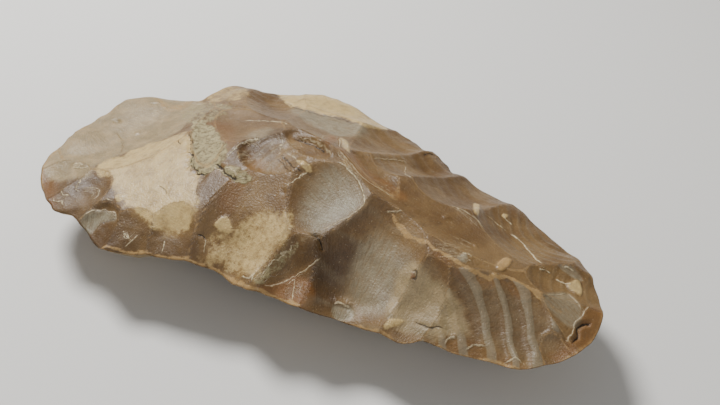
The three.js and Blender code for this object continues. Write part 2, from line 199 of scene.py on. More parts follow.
        "whiteChipTwo": ([(-52.4, -30.8), (-51, -31.2), (-49.4, -30.8)], 0.15, 0.7, 0.0, 1.0, 0.3),
        "whiteChipThree": ([(-52.8, -33), (-51.6, -33.7), (-50.2, -33), (-48.4, -33.8)], 0.2, 0.7, 0.0,
            0.9, 0.5),
        "whiteDash": ([(-39.2, -28.7), (-37.5, -28)], 0.1, 0.7, 0.0, 0.9, 0.1),
        "tongueRim": ([(-33.2, -31.6), (-35.2, -30.1), (-38, -30.3), (-40.4, -31.9), (-41.5, -34.4)],
            0.45, 2.0, 0.0, 0.8, 0.1),
        "roundScar": ([(-32.6, -31.4), (-35, -31.7), (-36.8, -33.2), (-37.2, -35.6)], 0.45, 1.5, 0.2,
            -0.6, 0.1),
        "dashOne": ([(-30, -32.4), (-28.6, -34)], 0.0, 1.0, 0.1, 1.0, 0.2),
        "dashTwo": ([(-29, -32.2), (-27.6, -33.6)], 0.0, 1.0, 0.1, 0.9, 0.2),
        "nearRay": ([(-26, -31.9), (-26.6, -33.2), (-27.4, -35)], 0.1, 1.0, 0.0, 0.7, 0.05),
        "crustEdge": ([(-26, -15), (-26.8, -12.6), (-28.2, -10.2), (-30.6, -8.6), (-33, -5.4),
            (-36.5, -2.6)], -0.5, 1.6, 0.45, -0.9, 0.8),
        "crustEdgeTwo": ([(-19.6, -14), (-22, -14.6), (-24.6, -13.4), (-26.6, -12.2)], -0.5, 1.6, 0.4,
            -0.8, 0.6),
        "patchPit": ([(-36.8, -6.2), (-35.6, -7), (-34.4, -7.6)], 0.15, 0.8, 0.35, -0.9, 0.2),
        "patchCurl": ([(-29.8, -20.8), (-27.5, -21), (-25.6, -22.2)], 0.05, 0.8, 0.1, -0.5, 0.1),
        "farStep": ([(-5, 25.4), (-13, 27), (-20, 26.4), (-27, 27), (-33, 29.6)], -0.3, 2.0, 0.1, -0.5,
            0.3),
        "farNotch": ([(12.2, 27.8), (12.4, 29.4), (13.8, 31.6)], 0.3, 1.5, 0.3, -0.8, 0.1),
        "lumpLineOne": ([(-4.4, 15.4), (-1.6, 12), (0.6, 8.6), (2.6, 6)], 0.3, 1.5, 0.0, 0.8, 0.15),
        "lumpLineTwo": ([(-2.2, 14.2), (1, 11), (3.6, 8)], 0.2, 1.0, 0.0, 0.6, 0.15),
        "lumpLineThree": ([(-7.6, 13.6), (-5.2, 10), (-3.4, 7.4)], 0.2, 1.2, 0.0, 0.4, 0.15),
        "steepOne": ([(1.6, 5), (7, 3), (13, 0.8), (17.5, 1.2), (21.5, 1.6)], 0.2, 1.2, 0.0, 0.5, 0.1),
        "steepTwo": ([(3, 6.2), (8, 4.2), (13.6, 2.2), (20, 2.8)], 0.15, 1.2, 0.0, 0.35, 0.15),
        "steepThree": ([(6, 6.8), (10, 4.8), (14.6, 3.8), (20.5, 4.4)], 0.12, 1.0, 0.0, 0.25, 0.15),
        "steepFour": ([(3, 3.6), (6.5, 2.2), (10, 0.9)], 0.15, 0.8, 0.0, 0.4, 0.1),
        "farCrease": ([(8.4, 9.6), (9.6, 14), (11, 19), (12.6, 21)], 0.25, 2.0, 0.0, 0.5, 0.15),
        "farBand": ([(12.4, 19), (15, 14.4), (18, 10.4), (20.6, 9.6)], 0.25, 1.6, 0.0, 0.5, 0.1),
        "buttStep": ([(-37, 14.6), (-41, 16.4), (-46, 16.6), (-51, 16.2)], 0.3, 1.6, 0.05, -0.3, 0.3),
        "buttStepTwo": ([(-30.4, 13), (-34, 13.6), (-39, 13.6)], 0.3, 1.4, 0.2, -0.6, 0.2),
    },
    # middle of a fan of hackles, angles it opens between, nearest and farthest, lines, tone, seed
    "sprays": {
        "crestHackles": ((49, 3), (186, 222), (8, 18), 17, 0.5, 3),
        "brownRays": ((-8, 2), (176, 200), (8, 14), 8, 0.5, 5),
        "terraceRays": ((-30, 22), (304, 322), (24, 36), 12, 0.3, 7),
        "edgeTeeth": ((4, -22), (18, 44), (4, 9), 5, 0.35, 9),
    },
    # middle, half length, half width, turn in degrees, height
    "dots": {
        "dimple": (-63.5, -2, 1.9, 1.1, 5, -0.6),
        "buttPimple": (-54.5, -3.5, 1.2, 1.2, 0, 0.25),
        "buttDot": (-60, 8.6, 1.4, 0.8, 30, -0.25),
        "ringPit": (-0.5, -11, 0.7, 0.6, 0, -0.45),
        "lensPit": (4.9, -14.8, 0.6, 0.6, 0, -0.25),
        "notchDome": (10.8, -18.2, 2.9, 2.2, 60, 0.75),
        "whiteShard": (40.3, 2, 1.0, 0.5, -30, 0.3),
        "creamBulb": (31.2, 5.4, 1.2, 0.9, 60, 0.3),
        "oliveBulb": (25.6, 2, 1.6, 1.1, 60, 0.2),
        "orangeGrain": (12.8, -24.5, 0.5, 0.4, 0, 0.2),
        "bandDot": (30.7, -13, 0.5, 0.4, 0, 0.2),
        "rimGrain": (46, -16.3, 0.5, 0.5, 0, 0.3),
    },
    # corners, height, softness of the border, colour channel it fills and how much
    "plates": {
        "triangleChip": ([(-11, -23), (-9.6, -20.1), (-7, -22.2)], 0.35, 0.25, "cream", 1.0),
        "wedgeChip": ([(-3.4, -2.1), (-1.1, -4.4), (1.7, -4.7), (1.5, -3.4), (-0.5, -3.3)], 0.3, 0.3,
            "cream", 1.0),
        "orangeChip": ([(46.5, 0), (46.8, 3.2), (48.3, 3.4), (48.6, -0.6), (47.4, -1.6)], 0.35, 0.3,
            "orangeCream", 1.0),
        "tipChip": ([(59.7, 6.9), (63.2, 6.5), (62.2, 9.2), (60.8, 10.2)], 0.4, 0.3, "cream", 0.8),
        "farShard": ([(31.2, 18.7), (32.6, 18.8), (34.4, 15), (35.9, 11.4), (35, 11), (33.2, 14.4)], 0.3,
            0.5, "cream", 0.95),
        "wedgeCrack": ([(33.2, -23), (33.1, -21), (34.6, -19.4), (36, -18.7), (34.7, -21.6)], 0.3, 0.3,
            "cream", 0.8),
        "tipWindow": ([(56.2, 10.1), (58.5, 12.1), (61.4, 11.4), (60.8, 10.2)], -0.25, 0.3, "veil", 0.6),
        "lumpPale": ([(-4.4, 15.6), (-1, 14.2), (3.5, 8.6), (5.2, 6), (2.4, 7.2), (-1.4, 12.2)], 0.3,
            0.6, "cream", 0.75),
        "lumpRust": ([(-6.6, 15.6), (-4.4, 14.8), (-1, 8), (0.6, 5.4), (-1, 5.6), (-4.2, 10)], 0.15, 0.6,
            "rust", 0.9),
        "rimChip": ([(20.4, -22.4), (23.5, -20.3), (25.2, -22), (22.4, -24.4)], -0.35, 0.4, "veil", 0.9),
        "creamTooth": ([(-37.4, -27.2), (-36.3, -25.9), (-35.4, -27), (-36, -27.9)], 0.15, 0.3, "cream",
            1.0),
        "smallRust": ([(32.5, -11), (34, -11.8), (33, -12.6)], 0.25, 0.25, "rust", 1.0),
        "creamStub": ([(38.2, 19), (39.4, 20), (39.4, 18.2)], 0.25, 0.3, "cream", 1.0),
        "tipFacet": ([(57.5, -1.2), (60.6, 5.2), (65, 2.6), (65.4, -2.2)], -0.1, 0.5, "veil", 0.6),
        "whiteTriangle": ([(39.5, -4.9), (40.4, -2.6), (41.4, -4.6)], 0.12, 0.3, "veil", 1.0),
    },
    # colour zones: corners, width of the soft border, how ragged it is, channel, strength
    "zones": {
        "creamPatch": ([(-47.5, -9.5), (-43, -5.5), (-38, -3), (-33, -5), (-29, -9), (-26, -13),
            (-21, -15), (-19.5, -19), (-16, -22.5), (-16, -26), (-20, -29), (-27, -28.5), (-33, -28),
            (-38, -26.3), (-41, -24.3), (-44.5, -22.3), (-49.5, -23), (-50.3, -17)], 1.6, 1.8, "cream",
            0.95),
        "mottledCream": ([(-6, -16.5), (0, -14.8), (4.3, -14.8), (7.6, -18.5), (6, -23), (5.2, -28.6),
            (0, -28.6), (-5, -28.3), (-9, -29.6), (-10.6, -26), (-8, -23), (-6, -20)], 2.4, 2.6, "cream",
            0.62),
        "farCortex": ([(-38, 34), (-30, 36), (-22, 40), (-8, 39), (-2.4, 34), (-3, 29), (-5, 26),
            (-13, 27.3), (-20, 26.4), (-27, 27.2), (-33, 29.4)], 0.8, 1.0, "cream", 0.8),
        "farLeftCortex": ([(-52, 28), (-40, 25), (-38, 18), (-44, 17), (-51, 17)], 1.5, 1.5, "cream",
            0.5),
        "crustBand": ([(-40, 2.6), (-36, 3), (-30, 0.4), (-25, -3.4), (-20.5, -6), (-18.6, -9.5),
            (-19, -13), (-23, -14.6), (-26.5, -12.4), (-29, -9.6), (-32, -6), (-36, -2.4)], 0.6, 1.3,
            "crust", 1.0),
        "crustSpread": ([(-50, 16.5), (-37, 14.5), (-34.5, 10), (-35, 3), (-40, 1.5), (-46, 4),
            (-51, 9)], 1.8, 1.6, "crust", 0.5),
        "rubble": ([(-17.6, -12.6), (-15, -10.9), (-10.2, -11), (-10, -12.6), (-13, -13.4)], 0.4, 0.6,
            "crust", 1.0),
        "rubbleSide": ([(8.6, -18.4), (9.4, -20), (7.2, -25), (6.4, -28.6), (4.6, -28.4), (5.6, -23)],
            0.5, 0.8, "crust", 0.5),
        "buttOlive": ([(-74, 10), (-60, 18), (-48, 16), (-42, 2), (-42.5, -5), (-48, -10), (-51, -20),
            (-50, -25), (-62, -28), (-72, -18)], 2.0, 1.0, "olive", 1.0),
        "oliveSide": ([(31, -9.4), (37, -10), (44, -11), (48, -14), (44, -18), (36, -21), (32, -20),
            (30, -14)], 1.6, 1.0, "olive", 0.95),
        "lensVeil": ([(6, -0.4), (11, -1), (16, -4.7), (12.6, -12), (11, -15.6), (6.4, -14), (4, -9),
            (4, -4)], 2.6, 0.8, "veil", 0.75),
        # the lens's right side, turned to the light, painted paler: partly its grey-blue veil, partly
        # painted light
        "lensBright": ([(10, -2.5), (15.8, -5), (12.4, -11), (11, -14.5), (8, -13), (8.6, -7)], 2.0, 0.6,
            "veil", 1.0),
        # the scoop's middle and right side, turned to the light, painted pale: partly a grey-green veil,
        # partly painted light
        "scoopVeilAndLight": ([(20, -9), (24, -6.5), (31, -9), (33.6, -13), (33, -18), (27, -20.6), (22, -18.6),
            (20, -14)], 2.2, 1.2, "veil", 0.7),
        "fanVeil": ([(40, -6.6), (47, -4.4), (57, -2.4), (63.6, -6), (60, -13.4), (52, -13.8),
            (44, -9.6)], 2.0, 1.6, "veil", 0.2),
        "farVeil": ([(-27, 27), (-20, 20.4), (-5, 17), (-2, 25), (-5, 26), (-13, 27)], 1.2, 1.0, "veil",
            0.75),
        "tongueVeil": ([(-41.6, -34.8), (-40, -31.6), (-36.6, -30.1), (-33.6, -31.4), (-36.6, -32.6),
            (-38, -36)], 0.5, 0.3, "veil", 0.85),
        "buttVeil": ([(-66, -9), (-60, -7), (-53, -10), (-50.4, -17), (-51, -23), (-57, -26),
            (-64, -22)], 2.0, 1.0, "veil", 0.5),
        "raysVeil": ([(-21.6, 2), (-20, 5.8), (-16.8, 5.8), (-16.2, 1.6), (-18.6, -0.4)], 1.2, 0.8,
            "veil", 0.5),
        "rustFacet": ([(6.2, -28.9), (9, -25.6), (11, -22.6), (16, -23), (16.5, -28), (9, -29.5)], 0.8,
            0.8, "rust", 0.8),
        "leftTipRust": ([(-66, -24), (-59, -27.4), (-54, -31), (-50, -35), (-58, -36), (-68, -30)], 1.2,
            1.0, "rust", 0.65),
        "brownRust": ([(-37, 1.5), (-31, 5.5), (-25, 1), (-20, -4), (-22, -5.4), (-30, -0.4)], 1.6, 1.2,
            "rust", 0.45),
        "terraceRust": ([(-14.4, -5), (-10, -6), (-8.6, -9), (-12.4, -10)], 1.2, 0.8, "rust", 0.5),
        "middleRust": ([(-14, -13.4), (-9.6, -13), (-9.4, -19), (-12, -20)], 1.2, 1.2, "rust", 0.4),
        "steepRust": ([(1.5, 5.6), (7, 3.4), (13, 0.8), (21.5, 1.6), (21, 4.6), (10, 5.6), (5, 7.6)],
            0.8, 0.8, "rust", 0.6),
        "rimRust": ([(44.6, -19.4), (45.4, -17), (52, -14.8), (61, -14.2), (63, -16), (54, -18)], 0.6,
            0.7, "rust", 0.3),
        "tipRust": ([(66.8, 6), (65.6, 3), (66.2, -5), (64, -10), (70, -8), (72, 4)], 0.8, 1.0, "rust",
            0.6),
        "bandUmber": ([(-62, -26.6), (-57, -25), (-51, -24.6), (-47, -22.6), (-42, -24.2), (-36, -27.6),
            (-28, -29), (-18, -28.8), (-13, -26), (-11, -30.4), (-20, -34), (-32, -39), (-46, -36),
            (-58, -34)], 0.8, 0.8, "umber", 0.55),
        "middleUmber": ([(-20, -13.6), (-12, -13.6), (-8.6, -17), (-11, -22), (-12, -26), (-16, -27),
            (-16, -21.5), (-19.4, -19)], 1.2, 1.6, "umber", 0.4),
        # the scoop's left wall, turned from the light, painted dark umber: partly its brown, partly
        # painted shade
        "scoopBrownAndShade": ([(13.6, -16.6), (18, -11), (20.6, -14), (20.6, -21), (17.6, -25.6), (13, -22)],
            2.0, 0.6, "umber", 0.8),
        "terraceUmber": ([(-18.4, -9.5), (-18.5, -3), (-16.4, 1.2), (-16.6, 5.6), (-11.6, 5.2),
            (-9.8, 0), (-9, -4.6), (-13, -4.4), (-13.6, -10)], 0.5, 0.3, "umber", 0.6),
        "smudge": ([(-6, -23.2), (-1, -21.6), (1, -20), (-3, -20), (-6, -21.4)], 0.9, 1.2, "umber", 0.5),
    },
    # way of a stroke of colour, half its width, channel, strength
    "strokes": {
        "crest": ([(22.5, -2.6), (25, -4), (29, -5), (35, -5.8), (38, -5.6), (41, -5.5), (45, -4.6),
            (48, -3), (50, -1.5), (54, -0.8), (58, -0.9), (62, -0.8)], 0.5, "orangeCream", 0.7),
        "crestShade": ([(36, -6.8), (40, -6.7), (45, -6), (50, -3), (55, -2.2)], 0.9, "rust", 0.4),
        "rimGold": ([(-32, -37.6), (-25, -35.1), (-18.5, -33.2), (-11, -31), (-4, -29), (4, -30.4),
            (9, -28.3), (15.5, -27.6)], 0.45, "orangeCream", 0.7),
        "rimGoldRight": ([(26, -23.4), (37, -23.2), (42, -20.2), (48.5, -18.7), (54, -16.7),
            (61, -15.2)], 0.4, "orangeCream", 0.55),
    },
}

fullTurn = 2 * math.pi


def smooth(start, end, value):      # 0 before start, 1 after end, an S curve between them
    share = np.clip((value - start) / (end - start), 0, 1)
    return share * share * (3 - 2 * share)


def scatter(index, seed):           # fixed scatter 0..1: the fraction left by a large multiple of a sine
    value = math.sin(index * 12.9898 + seed * 78.233) * 43758.5453
    return value - math.floor(value)


def grainNoise(x, y, size, seed, octaves=3):
    # gradient noise, -1..1: each lattice corner holds a random slope, and a point blends the
    # heights that its four corners' slopes give it; each octave is half as wide and half as high
    table = np.random.default_rng(seed).uniform(0, fullTurn, (64, 64))
    total, weight, norm = 0.0, 1.0, 0.0
    for octave in range(octaves):
        u, v = x / size + 17.3 * octave, y / size + 9.1 * octave
        i, j = np.floor(u).astype(int), np.floor(v).astype(int)
        fu, fv = u - i, v - j
        su, sv = fu ** 3 * (fu * (6 * fu - 15) + 10), fv ** 3 * (fv * (6 * fv - 15) + 10)
        corner = []
        for di in (0, 1):
            for dj in (0, 1):
                angle = table[(i + di) % 64, (j + dj) % 64]
                corner.append(np.cos(angle) * (fu - di) + np.sin(angle) * (fv - dj))
        low = corner[0] + (corner[1] - corner[0]) * sv
        high = corner[2] + (corner[3] - corner[2]) * sv
        total = total + weight * 1.5 * (low + (high - low) * su)
        norm += weight
        weight *= 0.5
        size = size / 2
    return total / norm


cornerXY = np.array(axe["rimCorners"], float)
cornerAngle = np.arctan2(cornerXY[:, 1], cornerXY[:, 0]) % fullTurn
order = np.argsort(cornerAngle)
cornerAngle = cornerAngle[order]
cornerRadius = np.hypot(cornerXY[:, 0], cornerXY[:, 1])[order] + axe["rimRoom"]
cornerAngle = np.concatenate([cornerAngle[-2:] - fullTurn, cornerAngle, cornerAngle[:2] + fullTurn])
cornerRadius = np.concatenate([cornerRadius[-2:], cornerRadius, cornerRadius[:2]])
cornerSlope = (cornerRadius[2:] - cornerRadius[:-2]) / (cornerAngle[2:] - cornerAngle[:-2])


def blankRadius(angle):
    # radius of the blank at an angle: a cubic from corner to corner that keeps their slopes
    angle = np.asarray(angle) % fullTurn
    at, radius = cornerAngle[1:-1], cornerRadius[1:-1]
    k = np.clip(np.searchsorted(at, angle, side="right") - 1, 0, len(at) - 2)
    gap = at[k + 1] - at[k]
    s = (angle - at[k]) / gap
    return (radius[k] * (1 + 2 * s) * (1 - s) ** 2 + cornerSlope[k] * gap * s * (1 - s) ** 2
            + radius[k + 1] * s * s * (3 - 2 * s) + cornerSlope[k + 1] * gap * s * s * (s - 1))


def outwards(x, y):
    # 0 at the middle, 1 at the rim: measured by a smooth egg inside and by the true rim near it
    byRim = np.hypot(x, y) / blankRadius(np.arctan2(y, x))
    halfWidth = axe["eggHalfWidth"] - axe["eggTaper"] * x - axe["eggBow"] * x * x
    byEgg = np.hypot(x / axe["eggHalfLength"], y / halfWidth)
    share = smooth(axe["eggUntil"], axe["rimFrom"], byRim)
    return byEgg * (1 - share) + byRim * share


def scarFrame(x, y, scar):          # distances along and across a scar's direction, from its middle
    atX, atY, toward, long = scar[:4]
    c, s = math.cos(math.radians(toward)), math.sin(math.radians(toward))
    return (x - atX) * c + (y - atY) * s - long / 2, (y - atY) * c - (x - atX) * s


def ringScars(ring):                # blows just outside the rim that run inwards, more across than along
    made = []
    for i in range(ring["count"]):
        pick = lambda pair, offset: pair[0] + pair[1] * scatter(i, ring["seed"] + offset)
        angle = fullTurn * (i + axe["ringUneven"] * (scatter(i, ring["seed"]) - 0.5)) / ring["count"]
        radius = float(blankRadius(angle)) + ring["outside"]
        x, y = radius * math.cos(angle), radius * math.sin(angle)
        toward = math.degrees(math.atan2(-y * axe["ringPull"][1], -x * axe["ringPull"][0]))
        toward += ring["spread"] * (scatter(i, ring["seed"] + 1) - 0.5)
        made.append((x, y, toward, pick(ring["long"], 2), pick(ring["wide"], 3),
                     pick(ring["deep"], 4), 2) + ring.get("ripple", (0, 0, 0)))
    return made


def carve(x, y, scars, wearAndSheen):
    # each scar is deep * (1 - q^hard) inside its oval; a soft maximum takes the deepest and rounds
    # the ridges; gives the depth, which scar won, and by how much it beat the next one
    cuts = [np.zeros_like(x)]
    for scar in scars:
        along, across = scarFrame(x, y, scar)
        q = np.hypot(along / (scar[3] / 2), across / (scar[4] / 2))
        cuts.append(scar[5] * (1 - np.minimum(q, 4) ** scar[6]))
    cuts = np.stack(cuts)
    best = cuts.max(0)
    depth = best + wearAndSheen * np.log(np.exp((cuts - best) / wearAndSheen).sum(0))
    ranked = np.partition(cuts, -2, axis=0)
    return depth, cuts.argmax(0), ranked[-1] - ranked[-2]


def flakeWaves(x, y, scars, winner, lead):
    # what the breaking wave left inside each scar: rings about the point of the blow, steeper on
    # their outer side, and hackles, streaks that run out from it; both die away at the ridges
    waves = axe["waves"]
    height = np.zeros_like(x)
    blow = np.stack([x * 0.4, y * 0.4, np.zeros_like(x)])
    for index, scar in enumerate(scars, 1):
        gap, rippleHeight, hackleHeight = scar[7:10]
        inside = winner == index
        if not inside.any():
            continue
        px, py = x[inside], y[inside]
        along, across = scarFrame(px, py, scar)
        along = along + scar[3] / 2
        radius = np.hypot(along, across)
        angle = np.arctan2(across, along)
        calm = smooth(0.0, waves["calmLead"], lead[inside])
        wave = 0.0
        if rippleHeight:
            stray = waves["stray"] * gap * grainNoise(px, py, waves["strayGap"], 40 + index, 2)
            phase = (radius + stray) / gap * fullTurn
            second = waves["second"] * np.cos(2 * phase + waves["secondTurn"])
            wave = rippleHeight * (np.cos(phase) + second)
            wave = wave * smooth(1.0, 2.2 * gap, radius)
        streak = grainNoise(angle * waves["hackleFan"], radius / waves["hackleGap"], 1.0, 70 + index, 2)
        height[inside] = calm * (wave + hackleHeight * streak * smooth(2, 14, radius))
        blow[:, inside] = np.stack([
            angle * waves["blowFan"], radius / waves["blowGap"], np.full_like(radius, 3.7 * index)])
    return height, blow


upperList = list(axe["upperScars"].values())
lowerList = [scar for ring in axe["lowerRings"] for scar in ringScars(ring)]
upperTrim, lowerTrim = (ringScars(dict(axe["rimTrim"], seed=seed)) for seed in (31, 51))


def curve(points, closed=False, steps=4):
    # a smooth way through points: between two of them, the cubic whose slopes come from their neighbours
    p = np.array(points, float)
    if len(p) < 3:
        return p
    ends = [p[-1:], p, p[:2]] if closed else [2 * p[:1] - p[1:2], p, 2 * p[-1:] - p[-2:-1]]
    p = np.concatenate(ends)
    t = np.arange(steps)[:, None, None] / steps
    a, b, c, d = p[:-3], p[1:-2], p[2:-1], p[3:]
    way = 0.5 * (2 * b + (c - a) * t + (2 * a - 5 * b + 4 * c - d) * t ** 2
                 + (3 * b - a - 3 * c + d) * t ** 3)
    way = way.transpose(1, 0, 2).reshape(-1, 2)
    return np.concatenate([way, way[:1] if closed else p[-2:-1]])


def nearWay(x, y, way, reach):      # which points lie within reach of a way's box
    low, high = way.min(0) - reach, way.max(0) + reach
    return (x > low[0]) & (x < high[0]) & (y > low[1]) & (y < high[1])


def fromWay(x, y, way):
    # distance from the nearest stretch of a way, plus on its left, and the share of its length there
    best = np.full(x.shape, 1e9)
    side, share, length = np.zeros(x.shape), np.zeros(x.shape), 0.0
    for (ax, ay), (bx, by) in zip(way[:-1], way[1:]):
        dx, dy = bx - ax, by - ay
        size = math.hypot(dx, dy) + 1e-9
        t = np.clip(((x - ax) * dx + (y - ay) * dy) / size ** 2, 0, 1)
        px, py = x - ax - t * dx, y - ay - t * dy
        gap = np.hypot(px, py)
        closer = gap < best
        best = np.where(closer, gap, best)
        side = np.where(closer, np.where(dx * py - dy * px < 0, -gap, gap), side)
        share = np.where(closer, length + t * size, share)
        length += size
    return side, share / length


def insideBy(x, y, way):            # distance from a closed way's border, plus inside it
    gap = np.abs(fromWay(x, y, way)[0])
    (ax, ay), (bx, by) = way[:-1].T, way[1:].T
    inside = np.zeros(x.shape, bool)
    for i in range(len(ax)):
        between = (ay[i] > y) != (by[i] > y)
        inside ^= between & (x < (bx[i] - ax[i]) * (y - ay[i]) / (by[i] - ay[i] + 1e-12) + ax[i])
    return np.where(inside, gap, -gap)


channels = ["cream", "crust", "olive", "veil", "rust", "umber", "orangeCream"]


def addMarks(x, y):
    # height in mm and colour of every mark; a line's height on its left is rise * e^(-distance / fade)
    height = np.zeros(x.shape)
    paint = {name: np.zeros(x.shape) for name in channels}
    lineSide, lineTone = np.full(x.shape, 3.0), np.zeros(x.shape)
    wx = x + axe["warp"] * grainNoise(x, y, axe["warpGap"], 3, 2)
    wy = y + axe["warp"] * grainNoise(x, y, axe["warpGap"], 4, 2)
    wobble = grainNoise(x, y, axe["wobbleGap"], 6, 2)
    rough = grainNoise(x, y, axe["roughGap"], 8, 3)
    for points, border, ragged, channel, strength in axe["zones"].values():
        way = curve(points, closed=True)
        at = nearWay(x, y, way, border + ragged + 1)
        gap = insideBy(wx[at], wy[at], way) + ragged * rough[at]
        paint[channel][at] = np.maximum(paint[channel][at], strength * smooth(-border, border, gap))
    for points, half, channel, strength in axe["strokes"].values():
        way = curve(points)
        at = nearWay(x, y, way, half + 2)
        gap = np.abs(fromWay(wx[at], wy[at], way)[0]) + 0.5 * rough[at]
        share = strength * (1 - smooth(0.4 * half, 1.6 * half, gap))
        paint[channel][at] = np.maximum(paint[channel][at], share)
    lines = dict(axe["marks"])
    for name, ((cx, cy), angles, reach, count, tone, seed) in axe["sprays"].items():
        for i in range(count):
            angle = math.radians(angles[0] + (angles[1] - angles[0]) * (i + scatter(i, seed)) / count)
            near = reach[0] + 0.5 * (reach[1] - reach[0]) * scatter(i, seed + 1)
            far = near + (reach[1] - near) * (0.4 + 0.6 * scatter(i, seed + 2))
            ends = [(cx + r * math.cos(angle), cy + r * math.sin(angle)) for r in (near, far)]
            lines[name + str(i)] = (ends, 0.06, 1.0, 0.03, tone * (0.3 + 0.5 * scatter(i, seed + 3)), 0.1)
    for points, rise, fade, groove, tone, teeth in lines.values():
        way = curve(points)
        at = nearWay(x, y, way, 3 * fade + 1.5)
        side, share = fromWay(wx[at], wy[at], way)
        ends = smooth(0, 0.15, share) * (1 - smooth(0.85, 1, share))
        side = side + teeth * wobble[at]
        lip = np.where(side > 0, np.exp(-np.abs(side) / fade), 0) * smooth(-0.25, 0.25, side)
        height[at] += ends * (rise * lip - groove * np.clip(1 - np.abs(side) / axe["grooveHalf"], 0, 1))
        close = (np.abs(side) < axe["lineReach"]) & (np.abs(side) < np.abs(lineSide[at]))
        lineSide[at] = np.where(close, side, lineSide[at])
        lineTone[at] = np.where(close, tone * ends, lineTone[at])
    for dx, dy, half, width, turn, rise in axe["dots"].values():
        c, s = math.cos(math.radians(turn)), math.sin(math.radians(turn))
        q = np.hypot(((x - dx) * c + (y - dy) * s) / half, ((y - dy) * c - (x - dx) * s) / width)
        height += rise * (1 - smooth(0.1, 1.1, q))
    for points, rise, border, channel, strength in axe["plates"].values():
        way = curve(points, closed=True, steps=3)
        at = nearWay(x, y, way, border + 1)
        on = smooth(-border, border, insideBy(x[at], y[at], way) + 0.12 * wobble[at])
        height[at] += rise * on
        for name in channels:
            keep = strength * on if name == channel else 0
            paint[name][at] = paint[name][at] * (1 - 0.8 * on * strength) + keep * 0.999
    lumpGap, lumpHeight = axe["crustLumps"]
    gritGap, gritHeight = axe["crustGrit"]
    lumps = lumpHeight * np.abs(grainNoise(x, y, lumpGap, 12, 3))
    height += paint["crust"] * (lumps + gritHeight * grainNoise(x, y, gritGap, 13, 2))
    for (gap, rise), seed, octaves in ((axe["swell"], 5, 4), (axe["grit"], 15, 2)):
        height += rise * grainNoise(x, y, gap, seed, octaves)
    return height, paint, lineSide, lineTone


def underPaint(x, y):               # the same finishes on the lower face, laid out by noise alone
    paint = {name: np.zeros(x.shape) for name in channels}
    for seed, (name, (level, strength)) in enumerate(axe["underPaint"].items()):
        noise = grainNoise(x, y, axe["underGap"], 90 + seed, 4)
        paint[name] = strength * smooth(level, level + axe["underBorder"], noise)
    return paint


def faces(x, y, fine=True):
    # both faces of the stone at plan points: two domes less their scars, swaying together at the rim
    out = outwards(x, y)
    upperDepth, upperWinner, upperLead = carve(x, y, upperList, axe["ridgeWear"])
    lowerDepth, lowerWinner, lowerLead = carve(x, y, lowerList, axe["ridgeWear"])
    sway = axe["rimSway"] * (lowerDepth - upperDepth) * smooth(axe["fadeFrom"], 1, out)
    keep = 1 - (1 - axe["rimKeep"]) * smooth(axe["fadeFrom"], 1, out)
    rise = axe["upperRise"] * (1 - axe["buttThinning"] * smooth(axe["buttThinFrom"], axe["buttThinTo"], x))
    drop = axe["lowerDrop"] * (1 - out ** axe["lowerFullness"])
    upper = axe["rimHeight"] + sway + rise * (1 - out ** axe["upperFullness"]) - upperDepth * keep
    lower = axe["rimHeight"] + sway - drop + lowerDepth * keep
    upper = upper - axe["rimTrim"]["reach"] * carve(x, y, upperTrim, axe["trimWear"])[0]
    lower = lower + axe["rimTrim"]["reach"] * carve(x, y, lowerTrim, axe["trimWear"])[0]
    if not fine:
        return upper, np.maximum(lower, 0.0)
    calmRim = 1 - smooth(axe["calmFrom"], 1.0, out)
    upperWave, upperBlow = flakeWaves(x, y, upperList, upperWinner, upperLead)
    lowerWave, lowerBlow = flakeWaves(x, y, lowerList, lowerWinner, lowerLead)
    marksHeight, paint, lineSide, lineTone = addMarks(x, y)
    under = underPaint(x, y)
    upper = upper + calmRim * (upperWave + marksHeight)
    underGap, underHeight = axe["underSwell"]
    lower = lower + calmRim * (lowerWave + underHeight * grainNoise(x, y, underGap, 25, 4))
    edge = smooth(axe["edgeFrom"], 1.0, out)
    still = np.zeros(x.shape)
    looks = [
        {"paint": paint, "line": (lineSide, lineTone, still), "blow": upperBlow, "wave": upperWave,
         "ridge": 1 - smooth(0.0, axe["ridgeLead"], upperLead), "edge": edge},
        {"paint": under, "line": (still + 3, still, still), "blow": lowerBlow, "wave": lowerWave,
         "ridge": 1 - smooth(0.0, axe["ridgeLead"], lowerLead), "edge": edge}]
    return upper, np.maximum(lower, 0.0), looks


def rimLine():
    # along each ray outwards, the first place where the upper face is no longer above the lower;
    # each ray's radius is averaged with its neighbours'
    blur = axe["rayBlur"]
    angle = np.linspace(0, fullTurn, axe["rimRays"] + 1)
    share = np.linspace(axe["searchFrom"], axe["searchTo"], axe["searchSteps"])
    blank = blankRadius(angle)
    x, y = (blank * np.cos(angle))[:, None] * share, (blank * np.sin(angle))[:, None] * share
    upper, lower = faces(x, y, False)
    gap = upper - lower
    closed = gap <= 0
    last = np.clip(np.where(closed.any(1), closed.argmax(1), len(share) - 1), 1, None)
    ray = np.arange(len(angle))
    inner, outer = gap[ray, last - 1], gap[ray, last]
    part = np.clip(inner / (inner - outer + 1e-12), 0, 1)
    radius = blank * (share[last - 1] + (share[last] - share[last - 1]) * part)
    around = np.concatenate([radius[-1 - blur:-1], radius, radius[1:1 + blur]])
    radius = np.convolve(around, np.ones(2 * blur + 1) / (2 * blur + 1), mode="valid")
    return np.stack([radius * np.cos(angle), radius * np.sin(angle)], -1)


def evenly(line, steps):            # points along a line, spread evenly by its length
    length = np.concatenate([[0], np.cumsum(np.hypot(*np.diff(line, axis=0).T))])
    at = np.linspace(0, length[-1], steps, endpoint=False)
    return np.stack([np.interp(at, length, line[:, 0]), np.interp(at, length, line[:, 1])], -1)


